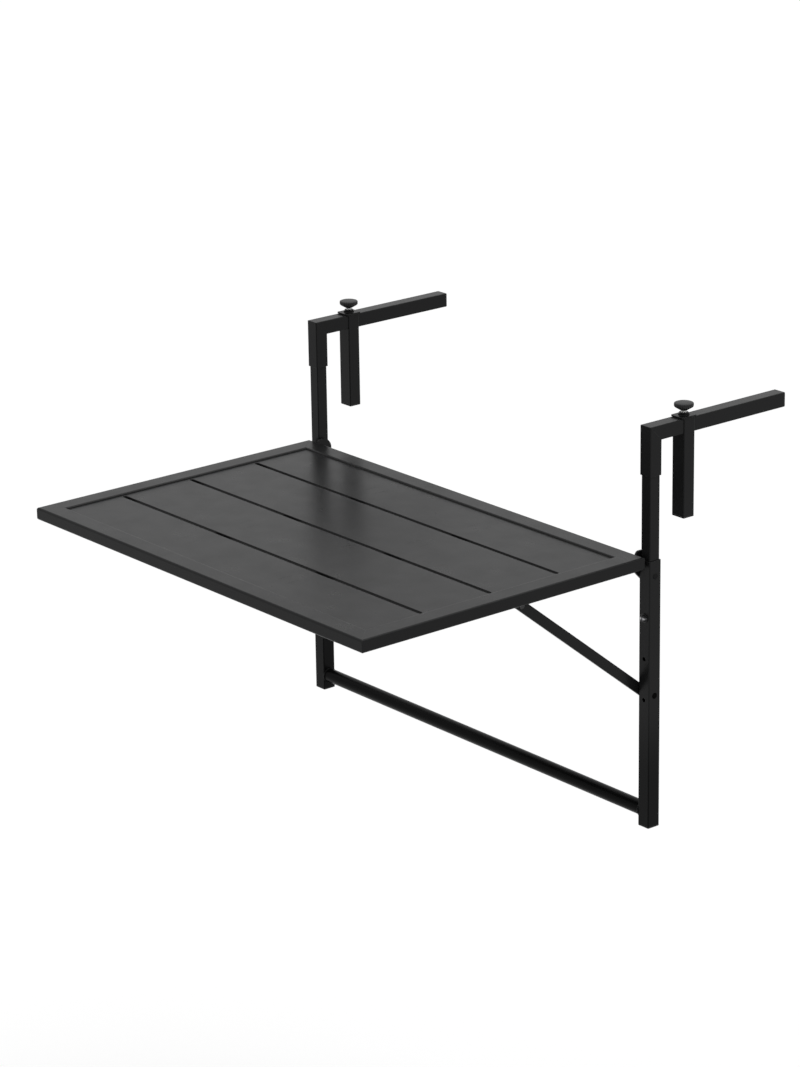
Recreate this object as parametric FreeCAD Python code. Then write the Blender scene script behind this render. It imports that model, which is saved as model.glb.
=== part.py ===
"""Balcony railing bar table: a fold-down steel table that hangs on a balcony railing.

Two hooks lie over the railing and are held by clamp legs with thumb screws. A frame of two square
uprights and a crossbar slides on the hooks' inner tubes and is locked at one of three levels. The
tabletop is hinged to the uprights and rests on two hook-ended braces, so that it can fold down.

Units are millimetres. X runs along the railing, -Y points to the user and +Z is up. The origin is
midway between the arms, at their underside and at the sleeves' back faces, where the railing's
inner top edge goes. Right-hand pieces have positive X, and left-hand pieces are their mirror image.
"""
import FreeCAD, Part
import math
import os

from FreeCAD import Rotation, Vector

# Square tubes of the hooks and the sliding frame
TUBE = 17.0
TUBE_WALL = 1.0
TUBE_CORNER = 1.2
SLIDE_GAP = 0.25
INNER_WALL = 1.0
ARM_LENGTH = 206.0
SLEEVE_DROP = 40.0
COLLAR = 4.0
INNER_TOP_DROP = 8.0

# Sliding frame
UPRIGHT_TOP_DROP = 138.0
UPRIGHT_LENGTH = 318.0
CROSSBAR_R = 8.5
CROSSBAR_WALL = 1.0
CROSSBAR_LIFT = 18.0

# Plastic end plugs
PLUG_FLANGE = 2.0
PLUG_DEPTH = 12.0
PLUG_EASE = 0.3
PLUG_ROUND = 0.8

# Height lock
LOCK_BELOW_TOP = 67.0
LEVEL_PITCH = 48.75
LEVEL_COUNT = 3
LOCK_SHANK_R = 2.45
SCREW_FIT = 0.05
LOCK_HEAD_R = 4.0
LOCK_HEAD = 3.0
LOCK_KEY_R = 1.5
LOCK_KEY_DEPTH = 1.6
LOCK_WASHER_R = 5.5
LOCK_WASHER = 0.8
LOCK_NUT_FLATS = 8.0
LOCK_NUT = 4.0
LOCK_HEAD_ROUND = 1.3
INNER_BELOW_LOCK = 16.0

# Tabletop
TOP_WIDTH = 600.0
TOP_DEPTH = 400.0
UPRIGHT_PROUD = 3.5
TOP_ABOVE_UPRIGHT = 6.0
RAIL_WIDTH = 25.0
RAIL_HEIGHT = 15.0
RAIL_WALL = 1.0
RAIL_CORNER = 2.5
PANEL_SHEET = 1.0
PANEL_RECESS = 2.0
PANEL_FLANGE = 10.0
SLOT_COUNT = 3
SLOT_WIDTH = 5.0
SLOT_PITCH = 96.5
SLOT_END_MARGIN = 3.0
SLOT_LIP = 4.0
SLOT_ROUND = 0.6
RIB_SPREAD = 184.0
RIB_WIDTH = 18.0
RIB_WALL = 1.0
RIB_NOTCH_EASE = 0.3

# Hinges between the uprights and the tabletop
HINGE_DROP = 9.0
PIN_R = 3.0
PIN_FIT = 0.05
PIN_HEAD_R = 5.5
PIN_HEAD = 1.8
WASHER_R = 6.0
WASHER = 1.0
SIDE_PLAY = 0.1
EAR = 2.5
EAR_R = 8.0
EAR_ABOVE_TOP = 3.0
EAR_BACK_ROUND = 13.0
EAR_FRONT_ROUND = 5.0
EAR_GUSSET = 7.0
FLANGE_WIDTH = 24.0
FLANGE_EDGE = 2.5
FLANGE_GAP = 1.5
FLANGE_ROUND = 4.0
PIN_HEAD_ROUND = 1.0
CAP_R = 3.5
CAP_DOME = 0.5
CAP_CHAMFER = 0.4

# Braces
BRACE_DROP = 159.0
BRACE_WIDTH = 12.0
BRACE = 4.0
BRACE_EDGE = 0.5
BRACE_REACH = 185.7
BRACE_TIP_GAP = 1.0
BRACE_TIP_ROUND = 3.0
STUD_R = 2.5
STUD_DROP = 5.5
STUD_FIT = 0.3
STUD_HEAD_R = 3.6
STUD_HEAD = 0.8
STUD_HEAD_GAP = 0.2
BRACE_TURN_RATIO = 1.43
NOTCH_FLARE = 6.0
LUG = 4.0
LUG_GAP = 0.3
LUG_R = 5.5

# Clamp legs
LEG_Y = 40.5
LEG_DEPTH = 16.0
LEG_WALL = 1.0
LEG_SIDE_GAP = 0.1
LEG_HANG_GAP = 0.3
LEG_DROP = 98.0
SADDLE = 1.6
SADDLE_OVERHANG = 3.0
SADDLE_CORNER = 2.0

# Thumb screws
THUMB_R = 3.0
THUMB_TIP_GAP = 0.3
THUMB_HOLE_EASE = 0.3
THUMB_NUT_FLATS = 10.0
THUMB_NUT = 3.2
THUMB_NECK = 2.2
KNOB_NECK_R = 4.2
KNOB_R = 11.0
KNOB_RIM_Z = 3.8
KNOB_RIM = 3.6
KNOB_TOP = 9.0
KNOB_CROWN_R = 8.0
KNOB_ROUND = 1.0
KNOB_SOCKET = 4.0

# Places worked out from the sizes above
INNER = TUBE - 2 * TUBE_WALL - 2 * SLIDE_GAP
AXIS_X = TOP_WIDTH / 2 + UPRIGHT_PROUD - TUBE / 2
AXIS_Y = -TUBE / 2
INSIDE_X = AXIS_X - TUBE / 2
OUTSIDE_X = AXIS_X + TUBE / 2
FRONT_Y = -TUBE
UPRIGHT_TOP = -UPRIGHT_TOP_DROP
UPRIGHT_FOOT = UPRIGHT_TOP - UPRIGHT_LENGTH
LOCK_Z = UPRIGHT_TOP - LOCK_BELOW_TOP
INNER_FOOT = LOCK_Z - INNER_BELOW_LOCK
TOP_Z = UPRIGHT_TOP + TOP_ABOVE_UPRIGHT
RAIL_FOOT = TOP_Z - RAIL_HEIGHT
BACK_Y = FRONT_Y - FLANGE_GAP - EAR
FRONT_EDGE_Y = BACK_Y - TOP_DEPTH
SLOT_CENTRES = [
    (BACK_Y + FRONT_EDGE_Y) / 2 + (index - (SLOT_COUNT - 1) / 2) * SLOT_PITCH for index in range(SLOT_COUNT)
]
PANEL_SURFACE = TOP_Z - PANEL_RECESS
HINGE_Z = RAIL_FOOT - HINGE_DROP
BRACE_Z = UPRIGHT_TOP - BRACE_DROP
LAYER_X = INSIDE_X - WASHER - SIDE_PLAY
FAR = 1000.0
PAST = 1.0
TINY = 0.01

FIRST_AXIS = Vector(1, 0, 0)
SECOND_AXIS = Vector(0, 1, 0)
UP = Vector(0, 0, 1)

nodes = {}


def bar(low, high, corner, along):
    """Solid bar between two corners, with the edges that run along one axis rounded."""
    solid = Part.makeBox(high.x - low.x, high.y - low.y, high.z - low.z, low)
    if corner <= 0:
        return solid
    long_edges = [edge for edge in solid.Edges if abs(edge.tangentAt(edge.FirstParameter).dot(along)) > 0.9]
    return solid.makeFillet(corner, long_edges)


def tube(low, high, wall, corner, along):
    """Rectangular tube between two corners, open at both ends."""
    inset = Vector(wall, wall, wall)
    past = along * (wall + TINY)
    bore = bar(low + inset - past, high - inset + past, max(corner - wall, 0), along)
    return bar(low, high, corner, along).cut(bore)


def prism(points, sweep):
    """Flat outline through the points, swept along a vector."""
    outline = Part.makePolygon(points + [points[0]])
    return Part.Face(outline).extrude(sweep)


def cylinder(radius, start, sweep):
    return Part.makeCylinder(radius, sweep.Length, start, sweep)


def ring(outer, inner, start, sweep):
    return cylinder(outer, start, sweep).cut(cylinder(inner, start, sweep))


def hex_prism(flats, start, sweep):
    """Hexagonal prism along Y or Z, with its first corner along X."""
    reach = flats / math.sqrt(3)
    other = Vector(sweep).normalize().cross(FIRST_AXIS)
    corners = []
    for step in range(6):
        turn = math.radians(60 * step)
        corners.append(start + FIRST_AXIS * (reach * math.cos(turn)) + other * (reach * math.sin(turn)))
    return prism(corners, sweep)


def turned(points, centre):
    """Solid of revolution about a vertical line, from (radius, height) points that start and end on it."""
    outline = Part.makePolygon([centre + Vector(r, 0, z) for r, z in points + [points[0]]])
    return Part.Face(outline).revolve(centre, UP, 360)


def mirrored(shape):
    return shape.mirror(Vector(0, 0, 0), FIRST_AXIS)


def pair(name, shape):
    """One node for the right-hand piece and one for its mirror image."""
    nodes["right_" + name] = shape
    nodes["left_" + name] = mirrored(shape)


def group(name, shapes):
    """One node for identical pieces, each of which stays a solid of its own."""
    nodes[name] = Part.makeCompound(shapes)


def both_sides(shapes):
    return shapes + [mirrored(shape) for shape in shapes]


# Hooks: arm, sleeve and inner tube

def arm():
    """Square tube of the arm, cut at 45 degrees where it meets the sleeve."""
    end = FRONT_Y + ARM_LENGTH - PLUG_FLANGE
    low = Vector(INSIDE_X, FRONT_Y, 0)
    high = Vector(OUTSIDE_X, end, TUBE)
    shape = tube(low, high, TUBE_WALL, TUBE_CORNER, SECOND_AXIS)
    keep = [Vector(0, FRONT_Y, TUBE), Vector(0, 0, 0), Vector(0, FAR, 0), Vector(0, FAR, TUBE)]
    return shape.common(prism(keep, Vector(FAR, 0, 0)))


def sleeve():
    """Short upright tube under the arm, with a collar inside its mouth that holds the inner tube."""
    low = Vector(INSIDE_X, FRONT_Y, -SLEEVE_DROP)
    high = Vector(OUTSIDE_X, 0, TUBE)
    shape = tube(low, high, TUBE_WALL, TUBE_CORNER, UP)
    keep = [Vector(0, FRONT_Y, TUBE), Vector(0, 0, 0), Vector(0, 0, -FAR), Vector(0, FRONT_Y, -FAR)]
    shape = shape.common(prism(keep, Vector(FAR, 0, 0)))
    collar = bar(low, Vector(OUTSIDE_X, 0, -SLEEVE_DROP + COLLAR), TUBE_CORNER, UP)
    half = INNER / 2
    bore = bar(Vector(AXIS_X - half, AXIS_Y - half, -FAR), Vector(AXIS_X + half, AXIS_Y + half, 0), TUBE_CORNER, UP)
    return shape.fuse(collar.cut(bore)).removeSplitter()


def inner_tube():
    """Slim tube that is fixed in the sleeve and carries the sliding frame."""
    half = INNER / 2
    low = Vector(AXIS_X - half, AXIS_Y - half, INNER_FOOT)
    high = Vector(AXIS_X + half, AXIS_Y + half, -INNER_TOP_DROP)
    shape = tube(low, high, INNER_WALL, TUBE_CORNER, UP)
    screw_hole = cylinder(LOCK_SHANK_R + SCREW_FIT, Vector(AXIS_X, FRONT_Y, LOCK_Z), Vector(0, TUBE / 2, 0))
    return shape.cut(screw_hole)


def rounded_end(shape, tip, outward, radius):
    """Same solid with the edges round its end face rounded."""
    rim = [edge for edge in shape.Edges if abs((edge.CenterOfMass - tip).dot(outward)) < TINY]
    return shape.makeFillet(radius, rim)


def end_plug(size, wall, corner, mouth, outward):
    """Plastic plug: a flange as large as the tube and a core that is a light fit in its bore."""
    across = Vector(1, 1, 1) - Vector(abs(outward.x), abs(outward.y), abs(outward.z))
    along = Vector(1, 1, 1) - across
    half = across * (size / 2)
    tip = mouth + outward * PLUG_FLANGE
    low = Vector(min(mouth.x, tip.x), min(mouth.y, tip.y), min(mouth.z, tip.z))
    high = Vector(max(mouth.x, tip.x), max(mouth.y, tip.y), max(mouth.z, tip.z))
    flange = rounded_end(bar(low - half, high + half, corner, along), tip, outward, PLUG_ROUND)
    core_half = across * (size / 2 - wall - PLUG_EASE)
    deep = mouth - outward * PLUG_DEPTH
    low = Vector(min(mouth.x, deep.x), min(mouth.y, deep.y), min(mouth.z, deep.z))
    high = Vector(max(mouth.x, deep.x), max(mouth.y, deep.y), max(mouth.z, deep.z))
    return flange.fuse(bar(low - core_half, high + core_half, 0, along)).removeSplitter()


def arm_plug():
    mouth = Vector(AXIS_X, FRONT_Y + ARM_LENGTH - PLUG_FLANGE, TUBE / 2)
    return end_plug(TUBE, TUBE_WALL, TUBE_CORNER, mouth, SECOND_AXIS)


def glide_plug():
    mouth = Vector(AXIS_X, AXIS_Y, INNER_FOOT)
    return end_plug(INNER, INNER_WALL, TUBE_CORNER, mouth, UP * -1)


def lock_nut():
    """Nut that is welded behind the inner tube's front wall."""
    start = Vector(AXIS_X, AXIS_Y - INNER / 2 + INNER_WALL, LOCK_Z)
    sweep = Vector(0, LOCK_NUT, 0)
    return hex_prism(LOCK_NUT_FLATS, start, sweep).cut(cylinder(LOCK_SHANK_R + SCREW_FIT, start, sweep))


pair("arm_tube", arm())
pair("sleeve_tube", sleeve())
pair("inner_tube", inner_tube())
group("arm_end_plugs", both_sides([arm_plug()]))
group("inner_tube_glide_plugs", both_sides([glide_plug()]))
group("lock_nuts", both_sides([lock_nut()]))


# Sliding frame: uprights, crossbar and what is fixed to them

def upright():
    """Outer tube with the level holes in its front wall and two capped holes in its outer wall."""
    low = Vector(INSIDE_X, FRONT_Y, UPRIGHT_FOOT + PLUG_FLANGE)
    high = Vector(OUTSIDE_X, 0, UPRIGHT_TOP)
    shape = tube(low, high, TUBE_WALL, TUBE_CORNER, UP)
    for level in range(LEVEL_COUNT):
        centre = Vector(AXIS_X, FRONT_Y - TINY, LOCK_Z - level * LEVEL_PITCH)
        shape = shape.cut(cylinder(LOCK_SHANK_R + SCREW_FIT, centre, Vector(0, TUBE / 2, 0)))
    for height in (HINGE_Z, BRACE_Z):
        shape = shape.cut(cylinder(CAP_R, Vector(AXIS_X, AXIS_Y, height), Vector(TUBE, 0, 0)))
    return shape


def crossbar():
    """Round tube between the uprights' inner faces."""
    start = Vector(-INSIDE_X, AXIS_Y, UPRIGHT_FOOT + CROSSBAR_LIFT)
    return ring(CROSSBAR_R, CROSSBAR_R - CROSSBAR_WALL, start, Vector(2 * INSIDE_X, 0, 0))


def foot_plug():
    mouth = Vector(AXIS_X, AXIS_Y, UPRIGHT_FOOT + PLUG_FLANGE)
    return end_plug(TUBE, TUBE_WALL, TUBE_CORNER, mouth, UP * -1)


def hole_cap(height):
    """Cap pressed into the hole in the upright's outer wall, opposite a pivot pin."""
    plug = cylinder(CAP_R, Vector(OUTSIDE_X - TUBE_WALL, AXIS_Y, height), Vector(TUBE_WALL + CAP_DOME, 0, 0))
    rim = [edge for edge in plug.Edges if edge.BoundBox.XMin > OUTSIDE_X + CAP_DOME - TINY]
    return plug.makeChamfer(CAP_CHAMFER, rim)


def pivot_pin(height, layer):
    """Shouldered pin, welded to the upright's inner face, with a head that keeps the layer on it."""
    head_x = LAYER_X - layer - SIDE_PLAY
    shank = cylinder(PIN_R, Vector(head_x, AXIS_Y, height), Vector(INSIDE_X - head_x, 0, 0))
    head = cylinder(PIN_HEAD_R, Vector(head_x - PIN_HEAD, AXIS_Y, height), Vector(PIN_HEAD, 0, 0))
    rim = [edge for edge in head.Edges if edge.BoundBox.XMax < head_x - PIN_HEAD + TINY]
    return shank.fuse(head.makeFillet(PIN_HEAD_ROUND, rim)).removeSplitter()


def pivot_washer(height):
    start = Vector(INSIDE_X - WASHER, AXIS_Y, height)
    return ring(WASHER_R, PIN_R + PIN_FIT, start, Vector(WASHER, 0, 0))


def lock_washer():
    start = Vector(AXIS_X, FRONT_Y - LOCK_WASHER, LOCK_Z)
    return ring(LOCK_WASHER_R, LOCK_SHANK_R + SCREW_FIT, start, Vector(0, LOCK_WASHER, 0))


def lock_screw():
    """Socket-head lock screw, drawn backed out until its tip is flush with the wall's inside."""
    seat = FRONT_Y - LOCK_WASHER
    shank = cylinder(LOCK_SHANK_R, Vector(AXIS_X, seat, LOCK_Z), Vector(0, LOCK_WASHER + TUBE_WALL, 0))
    head = cylinder(LOCK_HEAD_R, Vector(AXIS_X, seat - LOCK_HEAD, LOCK_Z), Vector(0, LOCK_HEAD, 0))
    rim = [edge for edge in head.Edges if edge.BoundBox.YMax < seat - LOCK_HEAD + TINY]
    head = head.makeFillet(LOCK_HEAD_ROUND, rim)
    key = hex_prism(2 * LOCK_KEY_R, Vector(AXIS_X, seat - LOCK_HEAD, LOCK_Z), Vector(0, LOCK_KEY_DEPTH, 0))
    return shank.fuse(head).cut(key).removeSplitter()


pair("upright_tube", upright())
nodes["crossbar"] = crossbar()
group("upright_foot_plugs", both_sides([foot_plug()]))
group("pivot_hole_caps", both_sides([hole_cap(HINGE_Z), hole_cap(BRACE_Z)]))
group("hinge_pins", both_sides([pivot_pin(HINGE_Z, EAR)]))
group("hinge_washers", both_sides([pivot_washer(HINGE_Z)]))
group("brace_pins", both_sides([pivot_pin(BRACE_Z, BRACE)]))
group("brace_washers", both_sides([pivot_washer(BRACE_Z)]))
group("lock_washers", both_sides([lock_washer()]))
pair("lock_screw", lock_screw())


# Tabletop: mitred rails, slotted panel, ribs and hinge brackets

def rail(low, high, along, keep):
    """Rectangular rail tube, mitred in plan to the outline given."""
    shape = tube(low, high, RAIL_WALL, RAIL_CORNER, along)
    outline = [Vector(x, y, RAIL_FOOT - PAST) for x, y in keep]
    return shape.common(prism(outline, UP * (RAIL_HEIGHT + 2 * PAST)))


def cross_rail(outer_y, inner_y):
    """Front or back rail."""
    half = TOP_WIDTH / 2
    low = Vector(-half, min(outer_y, inner_y), RAIL_FOOT)
    high = Vector(half, max(outer_y, inner_y), TOP_Z)
    inner = half - RAIL_WIDTH
    keep = [(-half, outer_y), (half, outer_y), (inner, inner_y), (-inner, inner_y)]
    return rail(low, high, FIRST_AXIS, keep)


def side_rail():
    half = TOP_WIDTH / 2
    inner = half - RAIL_WIDTH
    low = Vector(inner, FRONT_EDGE_Y, RAIL_FOOT)
    high = Vector(half, BACK_Y, TOP_Z)
    keep = [
        (half, FRONT_EDGE_Y),
        (half, BACK_Y),
        (inner, BACK_Y - RAIL_WIDTH),
        (inner, FRONT_EDGE_Y + RAIL_WIDTH),
    ]
    return rail(low, high, SECOND_AXIS, keep)


def long_slot(centre_y, half_width, low_z, high_z):
    """Solid with round ends that fills a slot of the panel, or the slot and its lip."""
    reach = TOP_WIDTH / 2 - RAIL_WIDTH - SLOT_END_MARGIN - SLOT_WIDTH / 2
    sweep = UP * (high_z - low_z)
    shape = Part.makeBox(2 * reach, 2 * half_width, sweep.Length, Vector(-reach, centre_y - half_width, low_z))
    for end in (-reach, reach):
        shape = shape.fuse(cylinder(half_width, Vector(end, centre_y, low_z), sweep))
    return shape.removeSplitter()


def slotted_panel():
    """Sheet panel with turned-down edges that stand against the rails, and long slots with turned-down lips."""
    half = TOP_WIDTH / 2 - RAIL_WIDTH
    low = Vector(-half, FRONT_EDGE_Y + RAIL_WIDTH, PANEL_SURFACE - PANEL_FLANGE)
    high = Vector(half, BACK_Y - RAIL_WIDTH, PANEL_SURFACE)
    shape = bar(low, high, 0, UP)
    inset = Vector(PANEL_SHEET, PANEL_SHEET, 0)
    shape = shape.cut(bar(low + inset - UP * PAST, high - inset - UP * PANEL_SHEET, 0, UP))
    lip_foot = PANEL_SURFACE - SLOT_LIP
    lip_half = SLOT_WIDTH / 2 + PANEL_SHEET
    for centre_y in SLOT_CENTRES:
        shape = shape.fuse(long_slot(centre_y, lip_half, lip_foot, PANEL_SURFACE - PANEL_SHEET))
        shape = shape.cut(long_slot(centre_y, SLOT_WIDTH / 2, lip_foot - PAST, PANEL_SURFACE + PAST))
    shape = shape.removeSplitter()
    on_top = [edge for edge in shape.Edges if edge.BoundBox.ZMin > PANEL_SURFACE - TINY]
    mouths = [edge for edge in on_top if low.x + PAST < edge.BoundBox.XMin and edge.BoundBox.XMax < high.x - PAST]
    return shape.makeFillet(SLOT_ROUND, mouths)


def panel_rib():
    """Channel under the panel, open towards it, from its back edge to its front edge, notched for the lips."""
    edge = RAIL_WIDTH + PANEL_SHEET
    low = Vector(RIB_SPREAD / 2 - RIB_WIDTH / 2, FRONT_EDGE_Y + edge, PANEL_SURFACE - PANEL_FLANGE)
    high = Vector(RIB_SPREAD / 2 + RIB_WIDTH / 2, BACK_Y - edge, PANEL_SURFACE - PANEL_SHEET)
    inside = bar(low + Vector(RIB_WALL, -PAST, RIB_WALL), high + Vector(-RIB_WALL, PAST, PAST), 0, SECOND_AXIS)
    shape = bar(low, high, 0, SECOND_AXIS).cut(inside)
    notch_half = SLOT_WIDTH / 2 + PANEL_SHEET + RIB_NOTCH_EASE
    notch_foot = PANEL_SURFACE - SLOT_LIP - RIB_NOTCH_EASE
    for centre_y in SLOT_CENTRES:
        notch_low = Vector(low.x - PAST, centre_y - notch_half, notch_foot)
        notch_high = Vector(high.x + PAST, centre_y + notch_half, high.z + PAST)
        shape = shape.cut(bar(notch_low, notch_high, 0, UP))
    return shape


def hinge_bracket():
    """Bracket welded to the back rail: a flange behind the rail and an ear that turns on the hinge pin."""
    top = TOP_Z + EAR_ABOVE_TOP
    ear_x = LAYER_X - EAR
    back = AXIS_Y + EAR_R
    axis = Vector(ear_x, AXIS_Y, HINGE_Z)
    knee = Vector(ear_x, BACK_Y - EAR_GUSSET, RAIL_FOOT)
    to_knee = knee - axis
    to_touch = Rotation(FIRST_AXIS, math.degrees(math.acos(EAR_R / to_knee.Length))).multVec(to_knee)
    outline = [
        Vector(ear_x, BACK_Y, top),
        Vector(ear_x, back, top),
        Vector(ear_x, back, HINGE_Z),
        axis,
        axis + to_touch.normalize() * EAR_R,
        knee,
        Vector(ear_x, BACK_Y, RAIL_FOOT),
    ]
    ear = prism(outline, Vector(EAR, 0, 0))
    back_edges = [edge for edge in ear.Edges if edge.BoundBox.YMin > back - TINY]
    ear = ear.makeFillet(EAR_BACK_ROUND, [edge for edge in back_edges if edge.BoundBox.ZMin > top - TINY])
    high_edges = [edge for edge in ear.Edges if edge.BoundBox.ZMin > top - TINY]
    ear = ear.makeFillet(EAR_FRONT_ROUND, [edge for edge in high_edges if edge.BoundBox.YMax < BACK_Y + TINY])
    ear = ear.fuse(cylinder(EAR_R, axis, Vector(EAR, 0, 0)))
    low = Vector(ear_x + EAR - FLANGE_WIDTH, BACK_Y, RAIL_FOOT + FLANGE_EDGE)
    high = Vector(ear_x + EAR, BACK_Y + EAR, TOP_Z - FLANGE_EDGE)
    flange = bar(low, high, 0, UP)
    far_edges = [edge for edge in flange.Edges if edge.BoundBox.XMax < low.x + TINY]
    flange = flange.makeFillet(FLANGE_ROUND, [edge for edge in far_edges if edge.BoundBox.ZLength < TINY])
    pin_hole = cylinder(PIN_R + PIN_FIT, axis - FIRST_AXIS * PAST, Vector(EAR + 2 * PAST, 0, 0))
    return ear.fuse(flange).removeSplitter().cut(pin_hole)


nodes["front_rail"] = cross_rail(FRONT_EDGE_Y, FRONT_EDGE_Y + RAIL_WIDTH)
nodes["back_rail"] = cross_rail(BACK_Y, BACK_Y - RAIL_WIDTH)
pair("side_rail", side_rail())
nodes["slotted_panel"] = slotted_panel()
pair("panel_rib", panel_rib())
pair("hinge_bracket", hinge_bracket())


# Braces: flat bars on the uprights, and the studs under the side rails that they hook

BRACE_TIP = Vector(0, AXIS_Y - BRACE_REACH, RAIL_FOOT - BRACE_TIP_GAP)
BRACE_FOOT = Vector(0, AXIS_Y, BRACE_Z)
BRACE_LINE = Vector(BRACE_TIP - BRACE_FOOT).normalize()
STUD_CENTRE = BRACE_TIP - BRACE_LINE * ((STUD_DROP - BRACE_TIP_GAP) / BRACE_LINE.z)
BRACE_FAR_X = LAYER_X - BRACE


def notch():
    """Flared slot along the way that the stud leaves the brace when the tabletop starts to fold."""
    from_hinge = STUD_CENTRE - Vector(0, AXIS_Y, HINGE_Z)
    from_foot = (STUD_CENTRE - BRACE_FOOT) * BRACE_TURN_RATIO
    way_out = Vector(0, from_foot.z - from_hinge.z, from_hinge.y - from_foot.y).normalize()
    across = FIRST_AXIS.cross(way_out)
    half = STUD_R + STUD_FIT
    reach = BRACE_WIDTH
    wide = half + reach * math.tan(math.radians(NOTCH_FLARE))
    start = STUD_CENTRE + Vector(BRACE_FAR_X - PAST, 0, 0)
    outline = [
        start + across * half,
        start + across * wide + way_out * reach,
        start - across * wide + way_out * reach,
        start - across * half,
    ]
    sweep = Vector(BRACE + 2 * PAST, 0, 0)
    return prism(outline, sweep).fuse(cylinder(half, start, sweep))


def brace():
    """Flat bar with a round foot and a pivot hole, cut level under the side rail, with a notch for the stud."""
    side = FIRST_AXIS.cross(BRACE_LINE) * (BRACE_WIDTH / 2)
    foot = BRACE_FOOT + Vector(BRACE_FAR_X, 0, 0)
    past_tip = BRACE_TIP + BRACE_LINE * BRACE_WIDTH + Vector(BRACE_FAR_X, 0, 0)
    outline = Part.Wire([
        Part.LineSegment(foot + side, past_tip + side).toShape(),
        Part.LineSegment(past_tip + side, past_tip - side).toShape(),
        Part.LineSegment(past_tip - side, foot - side).toShape(),
        Part.Arc(foot - side, foot - BRACE_LINE * (BRACE_WIDTH / 2), foot + side).toShape(),
    ])
    sweep = Vector(BRACE, 0, 0)
    above = Part.makeBox(BRACE, FAR, FAR, Vector(BRACE_FAR_X, -FAR, BRACE_TIP.z))
    shape = Part.Face(outline).extrude(sweep).cut(above)
    point = min(shape.Edges, key=lambda edge: edge.BoundBox.YMax)
    shape = shape.makeFillet(BRACE_TIP_ROUND, [point])
    rims = [edge for edge in shape.Edges if edge.BoundBox.XLength < TINY]
    shape = shape.makeChamfer(BRACE_EDGE, rims)
    pin_hole = cylinder(PIN_R + PIN_FIT, foot - FIRST_AXIS * PAST, Vector(BRACE + 2 * PAST, 0, 0))
    return shape.cut(pin_hole).cut(notch())


def lug():
    """Tab under the side rail that carries the stud."""
    outer = BRACE_FAR_X - LUG_GAP
    width = 2 * LUG_R
    low = Vector(outer - LUG, STUD_CENTRE.y - LUG_R, STUD_CENTRE.z)
    plate = Part.makeBox(LUG, width, RAIL_FOOT - STUD_CENTRE.z, low)
    centre = Vector(outer - LUG, STUD_CENTRE.y, STUD_CENTRE.z)
    shape = plate.fuse(cylinder(LUG_R, centre, Vector(LUG, 0, 0))).removeSplitter()
    return shape.cut(cylinder(STUD_R, centre - FIRST_AXIS * PAST, Vector(LUG + 2 * PAST, 0, 0)))


def brace_stud():
    """Headed stud through the lug, over which the brace's notch hooks."""
    lug_inner = BRACE_FAR_X - LUG_GAP - LUG
    head_x = LAYER_X + STUD_HEAD_GAP
    y = STUD_CENTRE.y
    z = STUD_CENTRE.z
    shank = cylinder(STUD_R, Vector(lug_inner, y, z), Vector(head_x - lug_inner, 0, 0))
    inner_head = cylinder(STUD_HEAD_R, Vector(lug_inner - STUD_HEAD, y, z), Vector(STUD_HEAD, 0, 0))
    outer_head = cylinder(STUD_HEAD_R, Vector(head_x, y, z), Vector(STUD_HEAD, 0, 0))
    return shank.fuse([inner_head, outer_head]).removeSplitter()


pair("brace", brace())
pair("brace_lug", lug())
group("brace_studs", both_sides([brace_stud()]))


# Clamp legs and thumb screws

LEG_HALF = TUBE / 2 + LEG_SIDE_GAP + LEG_WALL
LEG_CEILING = TUBE + LEG_HANG_GAP


def clamp_leg():
    """Rectangular tube whose side walls stand up past the arm and carry the plate over it."""
    low = Vector(AXIS_X - LEG_HALF, LEG_Y - LEG_DEPTH / 2, -LEG_DROP + PLUG_FLANGE)
    high = Vector(AXIS_X + LEG_HALF, LEG_Y + LEG_DEPTH / 2, LEG_CEILING)
    shape = bar(low, high, TUBE_CORNER, UP)
    inset = Vector(LEG_WALL, LEG_WALL, 0)
    bore = bar(low + inset - UP * PAST, high - inset + UP * PAST, TUBE_CORNER - LEG_WALL, UP)
    gap_low = Vector(low.x + LEG_WALL, low.y - PAST, -LEG_HANG_GAP)
    gap_high = Vector(high.x - LEG_WALL, high.y + PAST, high.z + PAST)
    return shape.cut(bore).cut(bar(gap_low, gap_high, 0, SECOND_AXIS))


def saddle_plate():
    """Plate across the leg's top and over the arm, a little longer than the leg is deep."""
    reach = LEG_DEPTH / 2 + SADDLE_OVERHANG
    low = Vector(AXIS_X - LEG_HALF, LEG_Y - reach, LEG_CEILING)
    high = Vector(AXIS_X + LEG_HALF, LEG_Y + reach, LEG_CEILING + SADDLE)
    screw_hole = cylinder(THUMB_R + THUMB_HOLE_EASE, Vector(AXIS_X, LEG_Y, low.z - PAST), UP * (SADDLE + 2 * PAST))
    return bar(low, high, SADDLE_CORNER, UP).cut(screw_hole)


def leg_plug():
    """Plug in the leg's foot."""
    tip = -LEG_DROP
    mouth = tip + PLUG_FLANGE
    low = Vector(AXIS_X - LEG_HALF, LEG_Y - LEG_DEPTH / 2, tip)
    high = Vector(AXIS_X + LEG_HALF, LEG_Y + LEG_DEPTH / 2, mouth)
    inset = LEG_WALL + PLUG_EASE
    core_low = Vector(low.x + inset, low.y + inset, mouth)
    core_high = Vector(high.x - inset, high.y - inset, mouth + PLUG_DEPTH)
    flange = rounded_end(bar(low, high, TUBE_CORNER, UP), low, UP, PLUG_ROUND)
    return flange.fuse(bar(core_low, core_high, 0, UP)).removeSplitter()


def thumb_nut():
    """Hexagonal nut, welded on top of the plate."""
    start = Vector(AXIS_X, LEG_Y, LEG_CEILING + SADDLE)
    sweep = UP * THUMB_NUT
    return hex_prism(THUMB_NUT_FLATS, start, sweep).cut(cylinder(THUMB_R + SCREW_FIT, start, sweep))


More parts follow.
